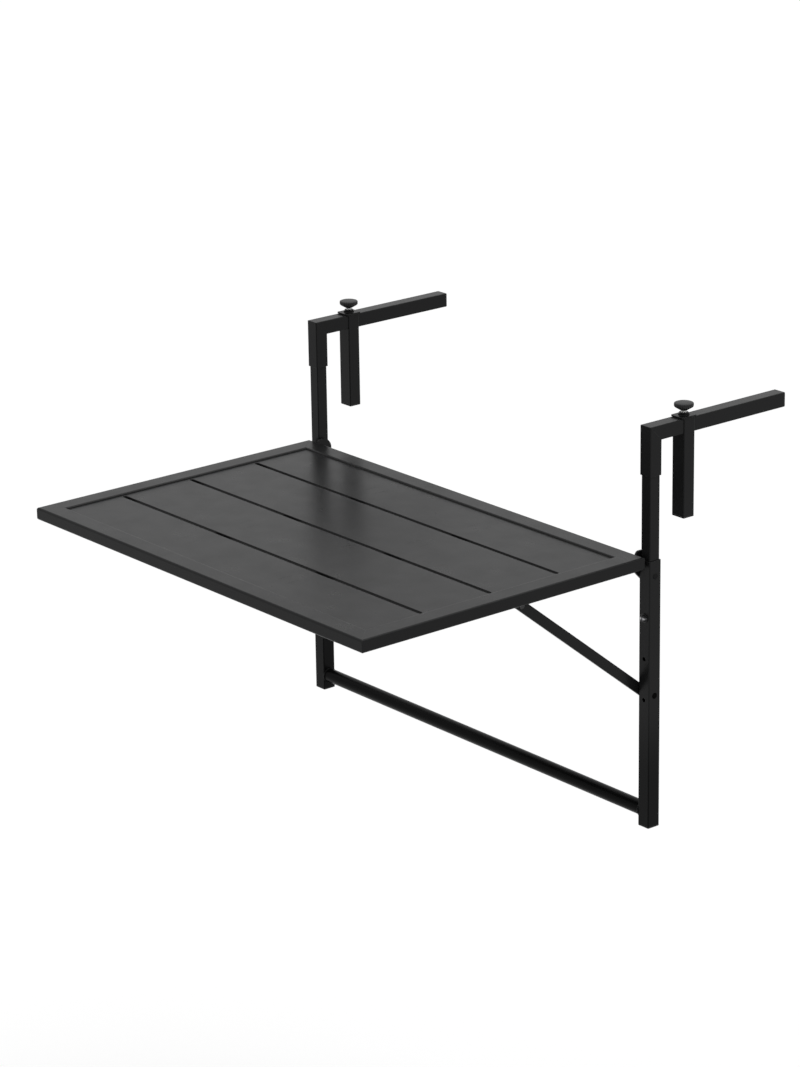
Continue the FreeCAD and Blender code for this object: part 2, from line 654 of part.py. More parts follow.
KNOB_FOOT = LEG_CEILING + SADDLE + THUMB_NUT + THUMB_NECK


def thumb_screw():
    """Steel screw that is moulded into the knob and bears on the arm."""
    tip = TUBE + THUMB_TIP_GAP
    return cylinder(THUMB_R, Vector(AXIS_X, LEG_Y, tip), UP * (KNOB_FOOT + KNOB_SOCKET - tip))


def knob():
    """Mushroom-shaped plastic knob, tapered underneath."""
    profile = [
        (0, 0),
        (KNOB_NECK_R, 0),
        (KNOB_R, KNOB_RIM_Z),
        (KNOB_R, KNOB_RIM_Z + KNOB_RIM),
        (KNOB_CROWN_R, KNOB_TOP),
        (0, KNOB_TOP),
    ]
    centre = Vector(AXIS_X, LEG_Y, KNOB_FOOT)
    shape = turned(profile, centre)
    circles = [edge for edge in shape.Edges if edge.Curve.TypeId == "Part::GeomCircle"]
    rims = [edge for edge in circles if edge.Curve.Radius > KNOB_NECK_R + TINY]
    shape = shape.makeFillet(KNOB_ROUND, rims)
    return shape.cut(cylinder(THUMB_R, centre - UP * PAST, UP * (KNOB_SOCKET + PAST)))


pair("clamp_leg", clamp_leg())
pair("leg_plug", leg_plug())
pair("saddle_plate", saddle_plate())
pair("thumb_nut", thumb_nut())
pair("thumb_screw", thumb_screw())
pair("knob", knob())


os.makedirs("parts", exist_ok=True)
for node_name in nodes:
    nodes[node_name].exportStep("parts/" + node_name + ".step")
print(len(nodes), "nodes")
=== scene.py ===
"""Looks of the balcony railing bar table: its coat, welds, knobs and screws on its steel parts.

Metres. X runs along the railing, -Y points to the user and +Z is up.
"""
import math
import random

import bmesh
import bpy
from mathutils import Matrix, Vector


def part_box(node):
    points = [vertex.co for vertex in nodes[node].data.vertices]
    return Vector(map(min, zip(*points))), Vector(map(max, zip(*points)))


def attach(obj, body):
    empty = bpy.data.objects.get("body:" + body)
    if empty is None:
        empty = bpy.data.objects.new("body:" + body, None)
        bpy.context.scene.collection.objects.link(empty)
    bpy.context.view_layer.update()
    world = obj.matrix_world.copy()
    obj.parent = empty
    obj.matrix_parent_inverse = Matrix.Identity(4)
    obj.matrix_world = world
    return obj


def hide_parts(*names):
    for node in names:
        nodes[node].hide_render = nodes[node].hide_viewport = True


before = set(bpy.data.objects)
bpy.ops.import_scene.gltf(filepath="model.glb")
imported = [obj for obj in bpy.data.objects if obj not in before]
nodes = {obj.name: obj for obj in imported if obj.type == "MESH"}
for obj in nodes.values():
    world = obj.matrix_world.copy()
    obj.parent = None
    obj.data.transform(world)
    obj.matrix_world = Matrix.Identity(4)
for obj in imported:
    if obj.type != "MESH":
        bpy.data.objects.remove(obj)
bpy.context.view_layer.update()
scene = bpy.context.scene
scene.view_settings.view_transform = "Standard"


# Stage
# A white studio: a matt floor a railing's height below the arms, one very broad soft lamp overhead,
# and a surround that is white to the camera and in reflections, and dimmer where it lights the table.

CAMERA_PLACE = Vector((3.12943, -2.66378, 1.18805))
CAMERA_YAW = 50.942
CAMERA_PITCH = 18.4374
CAMERA_ROLL = -0.9152
CAMERA_LENS = 125.09
CAMERA_SENSOR = 36.0
CAMERA_SIGHT = 50.0

camera_data = bpy.data.cameras.new("camera")
camera_data.lens = CAMERA_LENS
camera_data.sensor_width = CAMERA_SENSOR
camera_data.clip_end = CAMERA_SIGHT
camera = bpy.data.objects.new("camera", camera_data)
scene.collection.objects.link(camera)
camera.matrix_world = (
    Matrix.Translation(CAMERA_PLACE)
    @ Matrix.Rotation(math.radians(CAMERA_YAW), 4, "Z")
    @ Matrix.Rotation(math.radians(90 - CAMERA_PITCH), 4, "X")
    @ Matrix.Rotation(math.radians(CAMERA_ROLL), 4, "Z")
)
scene.camera = camera


def add_node(tree, kind, settings=None, sockets=None):
    """A shader node with its settings, and its sockets filled by values or by other nodes' outputs."""
    node = tree.nodes.new("ShaderNode" + kind)
    for key, value in (settings or {}).items():
        setattr(node, key, value)
    for key, value in (sockets or {}).items():
        if isinstance(value, bpy.types.NodeSocket):
            tree.links.new(value, node.inputs[key])
        else:
            node.inputs[key].default_value = value
    return node


def new_material(name):
    """A material whose node tree is empty."""
    material = bpy.data.materials.new(name)
    material.use_nodes = True
    material.node_tree.nodes.clear()
    return material


def seen_directly(tree):
    """1 for camera, mirror and see-through rays, and 0 for the rays that light the object."""
    path = add_node(tree, "LightPath")
    either = add_node(tree, "Math", {"operation": "MAXIMUM"}, {
        0: path.outputs["Is Camera Ray"],
        1: path.outputs["Is Glossy Ray"],
    })
    seen = add_node(tree, "Math", {"operation": "MAXIMUM"}, {
        0: either.outputs[0],
        1: path.outputs["Is Transmission Ray"],
    })
    return seen.outputs[0]


SURROUND_COLOUR = (1.0, 1.0, 1.0, 1.0)
SURROUND_LIGHT = 0.45
SURROUND_SEEN = 1.0
FLOOR_DROP = 1.05
FLOOR_SIZE = 120.0
FLOOR_COLOUR = (0.5, 0.5, 0.5, 1.0)
FLOOR_GLOW = 0.52

world = bpy.data.worlds.new("surround")
world.use_nodes = True
world.node_tree.nodes.clear()
surround_strength = add_node(world.node_tree, "MapRange", None, {
    "Value": seen_directly(world.node_tree),
    "To Min": SURROUND_LIGHT,
    "To Max": SURROUND_SEEN,
})
surround = add_node(world.node_tree, "Background", None, {
    "Color": SURROUND_COLOUR,
    "Strength": surround_strength.outputs[0],
})
add_node(world.node_tree, "OutputWorld", None, {"Surface": surround.outputs[0]})
scene.world = world

floor_paint = new_material("white_floor")
floor_tree = floor_paint.node_tree
floor_matt = add_node(floor_tree, "BsdfDiffuse", None, {"Color": FLOOR_COLOUR})
floor_glow_strength = add_node(floor_tree, "Math", {"operation": "MULTIPLY"}, {
    0: seen_directly(floor_tree),
    1: FLOOR_GLOW,
})
floor_glow = add_node(floor_tree, "Emission", None, {"Strength": floor_glow_strength.outputs[0]})
floor_look = add_node(floor_tree, "AddShader", None, {0: floor_matt.outputs[0], 1: floor_glow.outputs[0]})
add_node(floor_tree, "OutputMaterial", None, {"Surface": floor_look.outputs[0]})

floor_mesh = bmesh.new()
floor_place = Matrix.Translation((0, 0, -FLOOR_DROP))
bmesh.ops.create_grid(floor_mesh, x_segments=1, y_segments=1, size=FLOOR_SIZE / 2, matrix=floor_place)
floor_data = bpy.data.meshes.new("floor")
floor_mesh.to_mesh(floor_data)
floor_mesh.free()
floor_data.materials.append(floor_paint)
floor = bpy.data.objects.new("floor", floor_data)
scene.collection.objects.link(floor)

SKY_LAMP_POWER = 1.75
SKY_LAMP_SPREAD = 55.0
SKY_LAMP_LEAN = 15.0
SKY_LAMP_YAW = 150.0

sky_lamp_data = bpy.data.lights.new("sky_lamp", "SUN")
sky_lamp_data.energy = SKY_LAMP_POWER
sky_lamp_data.angle = math.radians(SKY_LAMP_SPREAD)
sky_lamp = bpy.data.objects.new("sky_lamp", sky_lamp_data)
scene.collection.objects.link(sky_lamp)
sky_lamp.rotation_euler = (math.radians(SKY_LAMP_LEAN), 0.0, math.radians(SKY_LAMP_YAW))


# Hooks
# Square steel tube, sawn, mitred and welded, then powder coated satin black. The coat has a fine
# orange peel, drifts slowly between two shades, is thinner and a little brighter along edges, and
# carries a painted shade that darkens its colour and reflection towards the foot of the frame.

COAT_DARK = (0.0100, 0.0101, 0.0104)
COAT_LIGHT = (0.0130, 0.0131, 0.0134)
COAT_EDGE = (0.0300, 0.0303, 0.0308)
COAT_SPECULAR = 0.1
COAT_SHEEN = (0.27, 0.33)
# Heights over which the painted shade at the frame's foot fades out, and its darkening factors.
PAINTED_FOOT_SHADE_LEVELS = (-0.40, -0.30)
PAINTED_FOOT_SHADE_FACTORS = (0.4, 1.0)
DRIFT_SCALE = 11.0
DRIFT_DETAIL = 4.0
CLOUD_SCALE = 30.0
CLOUD_DETAIL = 3.0
CLOUD_RANGE = (0.3, 0.7)
THIN_FACING = (0.999, 0.9)
THIN_SHARE = (0.0, 0.8)
PEEL_SCALE = 900.0
PEEL_DETAIL = 2.0
PEEL_HEIGHT = 0.00005
PEEL_STRENGTH = 0.3
EDGE_ROUND = 0.0006
EDGE_RAYS = 6


def piece_place(tree):
    """Where a point lies on its piece, which every pattern follows."""
    return add_node(tree, "TexCoord").outputs["Object"]


def noise(tree, place, scale, detail):
    """Cloudy pattern between 0 and 1, finer with a larger scale."""
    clouds = add_node(tree, "TexNoise", None, {"Vector": place, "Scale": scale, "Detail": detail})
    return clouds.outputs["Fac"]


def blend(tree, share, first, second):
    """Colour that goes from one to another with a share."""
    mixed = add_node(tree, "Mix", {"data_type": "RGBA"}, {"Factor": share, "A": first, "B": second})
    return mixed.outputs["Result"]


def carry(tree, value, source, target, settings=None):
    """Value carried from one range to another, each given as a pair."""
    carried = add_node(tree, "MapRange", settings, {
        "Value": value,
        "From Min": source[0],
        "From Max": source[1],
        "To Min": target[0],
        "To Max": target[1],
    })
    return carried.outputs[0]


def rounded_edges(tree, radius):
    """Surface direction that turns softly over edges."""
    return add_node(tree, "Bevel", {"samples": EDGE_RAYS}, {"Radius": radius}).outputs[0]


def relief(tree, height, strength, distance, rounded):
    """Surface direction with a fine relief over rounded edges."""
    bumps = add_node(tree, "Bump", None, {
        "Strength": strength,
        "Distance": distance,
        "Height": height,
        "Normal": rounded,
    })
    return bumps.outputs[0]


def surface(tree, sockets):
    """Ends a material's tree in a surface shader with these sockets."""
    look = add_node(tree, "BsdfPrincipled", None, sockets)
    add_node(tree, "OutputMaterial", None, {"Surface": look.outputs[0]})


def shaded(tone, shade):
    """Opaque colour, made darker by a shade under 1."""
    return tuple(part * shade for part in tone) + (1.0,)


def make_coat(name, edge_round, shade=1.0):
    """Powder coat on steel, light where it thins over edges; painted shade darkens it low down and for a
    shade under 1.
    """
    coat = new_material(name)
    tree = coat.node_tree
    place = piece_place(tree)
    drift = noise(tree, place, DRIFT_SCALE, DRIFT_DETAIL)
    tone = blend(tree, drift, shaded(COAT_DARK, shade), shaded(COAT_LIGHT, shade))
    rounded = rounded_edges(tree, edge_round)
    flat = add_node(tree, "NewGeometry").outputs["Normal"]
    facing = add_node(tree, "VectorMath", {"operation": "DOT_PRODUCT"}, {0: rounded, 1: flat})
    thin = carry(tree, facing.outputs["Value"], THIN_FACING, THIN_SHARE)
    colour = blend(tree, thin, tone, shaded(COAT_EDGE, shade))
    # Painted shade: colour, reflection strength and reflection tint fall towards the frame's foot.
    level = add_node(tree, "SeparateXYZ", None, {0: place}).outputs["Z"]
    smooth = {"interpolation_type": "SMOOTHSTEP"}
    depth = carry(tree, level, PAINTED_FOOT_SHADE_LEVELS, PAINTED_FOOT_SHADE_FACTORS, smooth)
    painted_foot_shade_colour = add_node(tree, "VectorMath", {"operation": "SCALE"}, {0: colour, "Scale": depth})
    cloud = noise(tree, place, CLOUD_SCALE, CLOUD_DETAIL)
    peel = noise(tree, place, PEEL_SCALE, PEEL_DETAIL)
    surface(tree, {
        "Base Color": painted_foot_shade_colour.outputs[0],
        "Roughness": carry(tree, cloud, CLOUD_RANGE, COAT_SHEEN),
        "Specular IOR Level": COAT_SPECULAR * shade,
        "Specular Tint": depth,
        "Normal": relief(tree, peel, PEEL_STRENGTH, PEEL_HEIGHT, rounded),
    })
    return coat


def dress(material, *names):
    """Gives CAD nodes a material in place of their plain one."""
    for name in names:
        node = nodes[name]
        if not node.data.materials:
            node.data.materials.append(material)
        for slot in node.material_slots:
            slot.link = "OBJECT"
            slot.material = material


SIDES = ("left", "right")
satin_coat = make_coat("satin_coat", EDGE_ROUND)
for side in SIDES:
    dress(satin_coat, side + "_arm_tube", side + "_sleeve_tube", side + "_inner_tube")


# Sliding frame
# Two drilled square tubes and a round crossbar, welded between their feet by a bead round each end.
# Beads are laid by hand, so every ripple differs a little, and they are coated with the frame. The
# crossbar's coat carries a painted shade: it is darker and reflects less than the tubes' coat.

RIPPLE = 0.0011
LEAST_RIPPLES = 2
BEAD_SIDES = 10
BEAD_SWELL = 0.16
BEAD_SWELL_SHARE = (0.6, 1.0)
BEAD_END = 0.45
BEAD_EDGE_ROUND = 0.0002
MERGE = 1e-6
SMOOTH_BELOW = 40.0
bead_hand = random.Random(7)


def add_to(mesh, part):
    """Moves a finished part into a larger mesh."""
    carried = bpy.data.meshes.new("carried")
    part.to_mesh(carried)
    part.free()
    mesh.from_mesh(carried)
    bpy.data.meshes.remove(carried)


def lay_bead(mesh, start, end, radius):
    """A closed, rippled weld bead from one point to another."""
    run = end - start
    steps = 2 * max(LEAST_RIPPLES, round(run.length / RIPPLE))
    turn = run.to_track_quat("Z", "Y").to_matrix().to_4x4()
    bead = bmesh.new()
    foot = Matrix.Translation(start) @ turn
    first = bmesh.ops.create_circle(
        bead, cap_ends=True, segments=BEAD_SIDES, radius=radius * BEAD_END, matrix=foot
    )
    tip = first["verts"][0].link_faces[0]
    size = BEAD_END
    for step in range(steps):
        swell = BEAD_SWELL if step % 2 == 0 else -BEAD_SWELL
        wanted = 1 + swell * bead_hand.uniform(*BEAD_SWELL_SHARE)
        if step == steps - 1:
            wanted = BEAD_END
        grown = bmesh.ops.extrude_face_region(bead, geom=[tip])["geom"]
        ring = [item for item in grown if isinstance(item, bmesh.types.BMVert)]
        tip = [item for item in grown if isinstance(item, bmesh.types.BMFace)][0]
        bmesh.ops.translate(bead, verts=ring, vec=run / steps)
        middle = tip.calc_center_median()
        bmesh.ops.scale(bead, verts=ring, vec=(wanted / size,) * 3, space=Matrix.Translation(-middle))
        size = wanted
    add_to(mesh, bead)


def lay_ring_bead(mesh, centre, axis, reach, radius):
    """A rippled weld bead all the way round a round or hexagonal foot."""
    steps = 2 * round(2 * math.pi * reach / RIPPLE)
    outwards = axis.orthogonal().normalized()
    across = outwards.cross(axis)
    turn = across.to_track_quat("Z", "Y").to_matrix().to_4x4()
    bead = bmesh.new()
    foot = Matrix.Translation(centre + outwards * reach) @ turn
    section = bmesh.ops.create_circle(bead, segments=BEAD_SIDES, radius=radius, matrix=foot)
    loop = section["verts"] + list({edge for vert in section["verts"] for edge in vert.link_edges})
    bmesh.ops.spin(
        bead,
        geom=loop,
        cent=centre,
        axis=axis,
        angle=2 * math.pi,
        steps=steps,
        use_merge=True,
    )
    bmesh.ops.remove_doubles(bead, verts=bead.verts[:], dist=MERGE)
    swells = [
        1 + BEAD_SWELL * bead_hand.uniform(*BEAD_SWELL_SHARE) * (-1) ** step
        for step in range(steps)
    ]
    for vert in bead.verts:
        arm = vert.co - centre
        arm -= axis * arm.dot(axis)
        share = (math.atan2(arm.dot(across), arm.dot(outwards)) / (2 * math.pi)) % 1.0
        middle = centre + arm.normalized() * reach
        vert.co = middle + (vert.co - middle) * swells[round(share * steps) % steps]
    add_to(mesh, bead)


def finish_piece(mesh, name, material, body, smooth_below=SMOOTH_BELOW):
    """Turns a mesh into a piece that rides on a body."""
    bmesh.ops.recalc_face_normals(mesh, faces=mesh.faces)
    for face in mesh.faces:
        face.smooth = True
    data = bpy.data.meshes.new(name)
    mesh.to_mesh(data)
    mesh.free()
    data.set_sharp_from_angle(angle=math.radians(smooth_below))
    data.materials.append(material)
    piece = bpy.data.objects.new(name, data)
    scene.collection.objects.link(piece)
    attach(piece, body)
    return piece


# Painted shade: the crossbar's coat is made darker and less reflective than the tubes' coat.
CROSSBAR_PAINTED_SHADE = 0.65
CROSSBAR_BEAD = 0.0012
CROSSBAR_BEAD_INSET = 0.3
ALONG_X = Vector((1, 0, 0))

dress(satin_coat, "left_upright_tube", "right_upright_tube")
dress(make_coat("crossbar_painted_shade_coat", EDGE_ROUND, CROSSBAR_PAINTED_SHADE), "crossbar")
bead_coat = make_coat("bead_coat", BEAD_EDGE_ROUND)
bar_low, bar_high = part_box("crossbar")
bar_middle = (bar_low + bar_high) / 2
bar_reach = (bar_high.z - bar_low.z) / 2
bar_welds = bmesh.new()
for end_x, inward in ((bar_low.x, 1), (bar_high.x, -1)):
    place = Vector((end_x + inward * CROSSBAR_BEAD * CROSSBAR_BEAD_INSET, bar_middle.y, bar_middle.z))
    lay_ring_bead(bar_welds, place, ALONG_X, bar_reach, CROSSBAR_BEAD)
finish_piece(bar_welds, "crossbar_welds", bead_coat, "sliding_frame")


# Tabletop
# Four mitred rails round a slotted sheet panel, with two ribs beneath, stitched together from
# below so that the top stays clean. The corner mitres are welded underneath and ground above.

STITCH_BEAD = 0.0010
STITCH = 0.022
END_STITCHES_X = (-0.2, -0.04, 0.04, 0.2)
SIDE_STITCHES_Y = (-0.10, -0.22, -0.34)
RIB_STITCHES_Y = (-0.085, -0.17, -0.27, -0.355)
MITRE_BEAD = 0.0009
MITRE_INSET = 0.005
ALONG_Y = Vector((0, 1, 0))

dress(satin_coat, "slotted_panel", "front_rail", "back_rail", "left_side_rail", "right_side_rail")
dress(satin_coat, "left_panel_rib", "right_panel_rib")
panel_low, panel_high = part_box("slotted_panel")
front_low, front_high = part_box("front_rail")
back_low, back_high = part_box("back_rail")
stitches = bmesh.new()


def stitch(middle, along):
    """A short bead of the tabletop, centred on a point."""
    lay_bead(stitches, middle - along * (STITCH / 2), middle + along * (STITCH / 2), STITCH_BEAD)


for x in END_STITCHES_X:
    for y in (panel_low.y, panel_high.y):
        stitch(Vector((x, y, panel_low.z)), ALONG_X)
for y in SIDE_STITCHES_Y:
    for x in (panel_low.x, panel_high.x):
        stitch(Vector((x, y, panel_low.z)), ALONG_Y)
for side in SIDES:
    rib_low, rib_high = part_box(side + "_panel_rib")
    for x in (rib_low.x, rib_high.x):
        for y in RIB_STITCHES_Y:
            stitch(Vector((x, y, rib_high.z)), ALONG_Y)
for corner_x, inner_x in ((front_low.x, panel_low.x), (front_high.x, panel_high.x)):
    for corner_y, inner_y in ((front_low.y, panel_low.y), (back_high.y, panel_high.y)):
        corner = Vector((corner_x, corner_y, front_low.z))
        inner = Vector((inner_x, inner_y, front_low.z))
        inset = (inner - corner).normalized() * MITRE_INSET
        lay_bead(stitches, corner + inset, inner - inset, MITRE_BEAD)
finish_piece(stitches, "tabletop_welds", bead_coat, "tabletop")


# Hinges and braces
# Brackets, flat brace bars and their lugs are cut from strip, welded where they meet the rails, and
# coated with them. Pins and studs are turned, blackened steel with a tighter, smoother shine.

BRACKET_BEAD = 0.0011
FLANGE_BEAD_START = 0.005
FLANGE_BEAD_LENGTH = 0.016
FLANGE_EDGE = 0.0025
EAR = 0.0025
EAR_BEAD_INSET = 0.001
LUG_BEAD = 0.0011
LUG_BEAD_RETURN = 0.0033

for side in SIDES:
    dress(satin_coat, side + "_hinge_bracket", side + "_brace", side + "_brace_lug")

hinge_welds = bmesh.new()
for side, outward in (("left", -1), ("right", 1)):
    low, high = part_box(side + "_hinge_bracket")
    inboard = high.x if outward < 0 else low.x
    outboard = low.x if outward < 0 else high.x
    rail_back = back_high.y
    bead_start = inboard + outward * FLANGE_BEAD_START
    bead_end = inboard + outward * (FLANGE_BEAD_START + FLANGE_BEAD_LENGTH)
    for z in (back_low.z + FLANGE_EDGE, back_high.z - FLANGE_EDGE):
        start = Vector((bead_start, rail_back, z))
        end = Vector((bead_end, rail_back, z))
        lay_bead(hinge_welds, start, end, BRACKET_BEAD)
    ear_inner = outboard - outward * EAR
    start = Vector((ear_inner, low.y + EAR_BEAD_INSET, back_low.z))
    end = Vector((ear_inner, rail_back - EAR_BEAD_INSET, back_low.z))
    lay_bead(hinge_welds, start, end, BRACKET_BEAD)
    low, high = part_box(side + "_brace_lug")
    inboard = high.x if outward < 0 else low.x
    returned = inboard + outward * LUG_BEAD_RETURN
    lay_bead(hinge_welds, Vector((inboard, low.y, high.z)), Vector((inboard, high.y, high.z)), LUG_BEAD)
    for y in (low.y, high.y):
        start = Vector((inboard, y, high.z))
        end = Vector((returned, y, high.z))
        lay_bead(hinge_welds, start, end, LUG_BEAD)
finish_piece(hinge_welds, "hinge_and_lug_welds", bead_coat, "tabletop")

WHOLE = (0.0, 1.0)
STEEL_DARK = (0.020, 0.020, 0.021, 1.0)
STEEL_LIGHT = (0.045, 0.044, 0.043, 1.0)
STEEL_METAL = 0.6
STEEL_SHEEN = (0.28, 0.42)
STEEL_CLOUD_SCALE = 260.0
STEEL_CLOUD_DETAIL = 3.0
STEEL_EDGE_ROUND = 0.0002
RING_SCALE = 900.0
RING_WAVER = 0.4
RING_STRENGTH = 0.25
RING_HEIGHT = 0.00003


def make_blackened_steel(name):
    """Turned steel, blackened and oiled, with fine rings left by the tool."""
    steel = new_material(name)
    tree = steel.node_tree
    place = piece_place(tree)
    cloud = noise(tree, place, STEEL_CLOUD_SCALE, STEEL_CLOUD_DETAIL)
    rings = add_node(tree, "TexWave", {"bands_direction": "X"}, {
        "Vector": place,
        "Scale": RING_SCALE,
        "Distortion": RING_WAVER,
    })
    rounded = rounded_edges(tree, STEEL_EDGE_ROUND)
    surface(tree, {
        "Base Color": blend(tree, cloud, STEEL_DARK, STEEL_LIGHT),
        "Metallic": STEEL_METAL,
        "Roughness": carry(tree, cloud, WHOLE, STEEL_SHEEN),
        "Normal": relief(tree, rings.outputs["Fac"], RING_STRENGTH, RING_HEIGHT, rounded),
    })
    return steel


dress(make_blackened_steel("blackened_steel"), "hinge_pins", "brace_pins", "brace_studs")


# Washers and lock nuts
# Small steel pieces from the fastener shelf, barrel plated with bright zinc, with faint blue and
# yellow tints and fine tumbling marks.

ZINC_BLUE = (0.60, 0.63, 0.68, 1.0)
ZINC_YELLOW = (0.70, 0.68, 0.62, 1.0)
ZINC_SHEEN = (0.22, 0.38)
ZINC_CLOUD_SCALE = 420.0
ZINC_CLOUD_DETAIL = 3.0
ZINC_EDGE_ROUND = 0.0003
MARK_SCALE = 2600.0
MARK_DETAIL = 2.0
MARK_STRENGTH = 0.3
MARK_HEIGHT = 0.00003


def make_zinc(name):
    """Bright zinc plate, full of small dents."""
    zinc = new_material(name)
    tree = zinc.node_tree
    place = piece_place(tree)
    cloud = noise(tree, place, ZINC_CLOUD_SCALE, ZINC_CLOUD_DETAIL)
    marks = noise(tree, place, MARK_SCALE, MARK_DETAIL)
    rounded = rounded_edges(tree, ZINC_EDGE_ROUND)
    surface(tree, {
        "Base Color": blend(tree, cloud, ZINC_BLUE, ZINC_YELLOW),
        "Metallic": 1.0,
        "Roughness": carry(tree, cloud, WHOLE, ZINC_SHEEN),
        "Normal": relief(tree, marks, MARK_STRENGTH, MARK_HEIGHT, rounded),
    })
    return zinc


zinc_plate = make_zinc("zinc_plate")
dress(zinc_plate, "hinge_washers", "brace_washers", "lock_nuts")


# Lock screws and their washers
# Black oxide steel, turned and stamped. Heads and washers carry a painted highlight: a bright metallic
# streak across the socket.

OXIDE_BLACK = (0.020, 0.020, 0.021, 1.0)
# Colour, reach, fade and ragged edge of the painted highlight across the socket.
GLINT_BRIGHT = (0.45, 0.45, 0.46, 1.0)
GLINT_HALF_LENGTH = 0.0056
GLINT_HALF_HEIGHT = 0.0019
GLINT_FADE = (1.1, 0.4)
GLINT_RAGGED = (-0.25, 0.25)
OXIDE_SHEEN = (0.34, 0.46)
OXIDE_SPECULAR = 0.2
OXIDE_CLOUD_SCALE = 900.0
OXIDE_CLOUD_DETAIL = 3.0
OXIDE_EDGE_ROUND = 0.0003
OXIDE_STRENGTH = 0.3
OXIDE_HEIGHT = 0.00003


def make_black_with_painted_glint(name, centre):
    """Black oxide with a painted highlight: a bright streak about a point and its mirror image on the other
    side.
    """
    black = new_material(name)
    tree = black.node_tree
    place = piece_place(tree)
    parts = add_node(tree, "SeparateXYZ", None, {0: place})
    out = add_node(tree, "Math", {"operation": "ABSOLUTE"}, {0: parts.outputs["X"]})
    endless = {"clamp": False}
    across = carry(tree, out.outputs[0], (centre.x, centre.x + GLINT_HALF_LENGTH), WHOLE, endless)
    above = carry(tree, parts.outputs["Z"], (centre.z, centre.z + GLINT_HALF_HEIGHT), WHOLE, endless)
    away = add_node(tree, "CombineXYZ", None, {0: across, 2: above})
    reach = add_node(tree, "VectorMath", {"operation": "LENGTH"}, {0: away.outputs[0]})
    cloud = noise(tree, place, OXIDE_CLOUD_SCALE, OXIDE_CLOUD_DETAIL)
    ragged = carry(tree, cloud, WHOLE, GLINT_RAGGED, endless)
    edge = add_node(tree, "Math", {"operation": "ADD"}, {0: reach.outputs["Value"], 1: ragged})
    # Painted highlight: bright metal with a soft, ragged edge, mirrored either side of the middle.
    painted_glint = carry(tree, edge.outputs[0], GLINT_FADE, WHOLE, {"interpolation_type": "SMOOTHSTEP"})
    rounded = rounded_edges(tree, OXIDE_EDGE_ROUND)
    surface(tree, {
        "Base Color": blend(tree, painted_glint, OXIDE_BLACK, GLINT_BRIGHT),
        "Metallic": painted_glint,
        "Roughness": carry(tree, cloud, WHOLE, OXIDE_SHEEN),
        "Specular IOR Level": OXIDE_SPECULAR,
        "Normal": relief(tree, cloud, OXIDE_STRENGTH, OXIDE_HEIGHT, rounded),
    })
    return black


screw_low, screw_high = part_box("right_lock_screw")
black_with_painted_glint = make_black_with_painted_glint("black_with_painted_glint", (screw_low + screw_high) / 2)
dress(black_with_painted_glint, "left_lock_screw", "right_lock_screw", "lock_washers")


# Clamp legs
# Rectangular tubes that hang on the arms, closed by a plate that is welded along their side walls. A
# hexagonal weld nut with chamfered corners is welded round its foot on to the plate, and all is coated.

NUT_SIDES = 6
NUT_CHAMFER = 30.0
NUT_CORNER_LOSS = 0.0009
NUT_CORNER_CUTS = 3
NUT_CUT_TURN = 20.0
NUT_RIM = 0.0010
NUT_SINK_WIDTH = 0.0004
NUT_SINK = 0.0005
NUT_SMOOTH_BELOW = 20.0
NUT_BEAD = 0.0011
NUT_BEAD_REACH = 0.92
PLATE_BEAD = 0.0007
PLATE_BEAD_END = 0.002
UPWARDS = Vector((0, 0, 1))


def nut_mesh(low, high):
    """Hexagonal nut that fills a box, its corners chamfered by short flats and its bore's mouth sunk in."""
    centre = (low + high) / 2
    reach = (high.x - low.x) / 2
    nut = bmesh.new()
    base = Matrix.Translation((centre.x, centre.y, low.z))
    bmesh.ops.create_circle(nut, cap_ends=True, segments=NUT_SIDES, radius=reach, matrix=base)
    raised = bmesh.ops.extrude_face_region(nut, geom=nut.faces[:])["geom"]
    top = [item for item in raised if isinstance(item, bmesh.types.BMVert)]
    bmesh.ops.translate(nut, verts=top, vec=(0, 0, high.z - low.z))
    furthest = max(nut.verts, key=lambda vert: (vert.co - centre).to_2d().length).co
    first_corner = math.atan2(furthest.y - centre.y, furthest.x - centre.x)
    slope = math.radians(NUT_CHAMFER)
    for corner in range(NUT_SIDES):
        for cut in range(NUT_CORNER_CUTS):
            spread = (cut - (NUT_CORNER_CUTS - 1) / 2) * math.radians(NUT_CUT_TURN)
            turn = first_corner + corner * 2 * math.pi / NUT_SIDES + spread
            level = Vector((math.cos(turn), math.sin(turn), 0)) * (reach - NUT_CORNER_LOSS)
            across = math.sin(slope)
            outwards = Vector((math.cos(turn) * across, math.sin(turn) * across, math.cos(slope)))
            cut_away = bmesh.ops.bisect_plane(
                nut,
                geom=nut.verts[:] + nut.edges[:] + nut.faces[:],
                plane_co=Vector((centre.x, centre.y, high.z)) + level,
                plane_no=outwards,
                clear_outer=True,
            )
            rim = [item for item in cut_away["geom_cut"] if isinstance(item, bmesh.types.BMEdge)]
            bmesh.ops.edgeloop_fill(nut, edges=rim)
    crown = max(nut.faces, key=lambda face: face.calc_center_median().z)
    bmesh.ops.inset_region(nut, faces=[crown], thickness=NUT_RIM, depth=0.0)
    bmesh.ops.inset_region(nut, faces=[crown], thickness=NUT_SINK_WIDTH, depth=-NUT_SINK)
    return nut


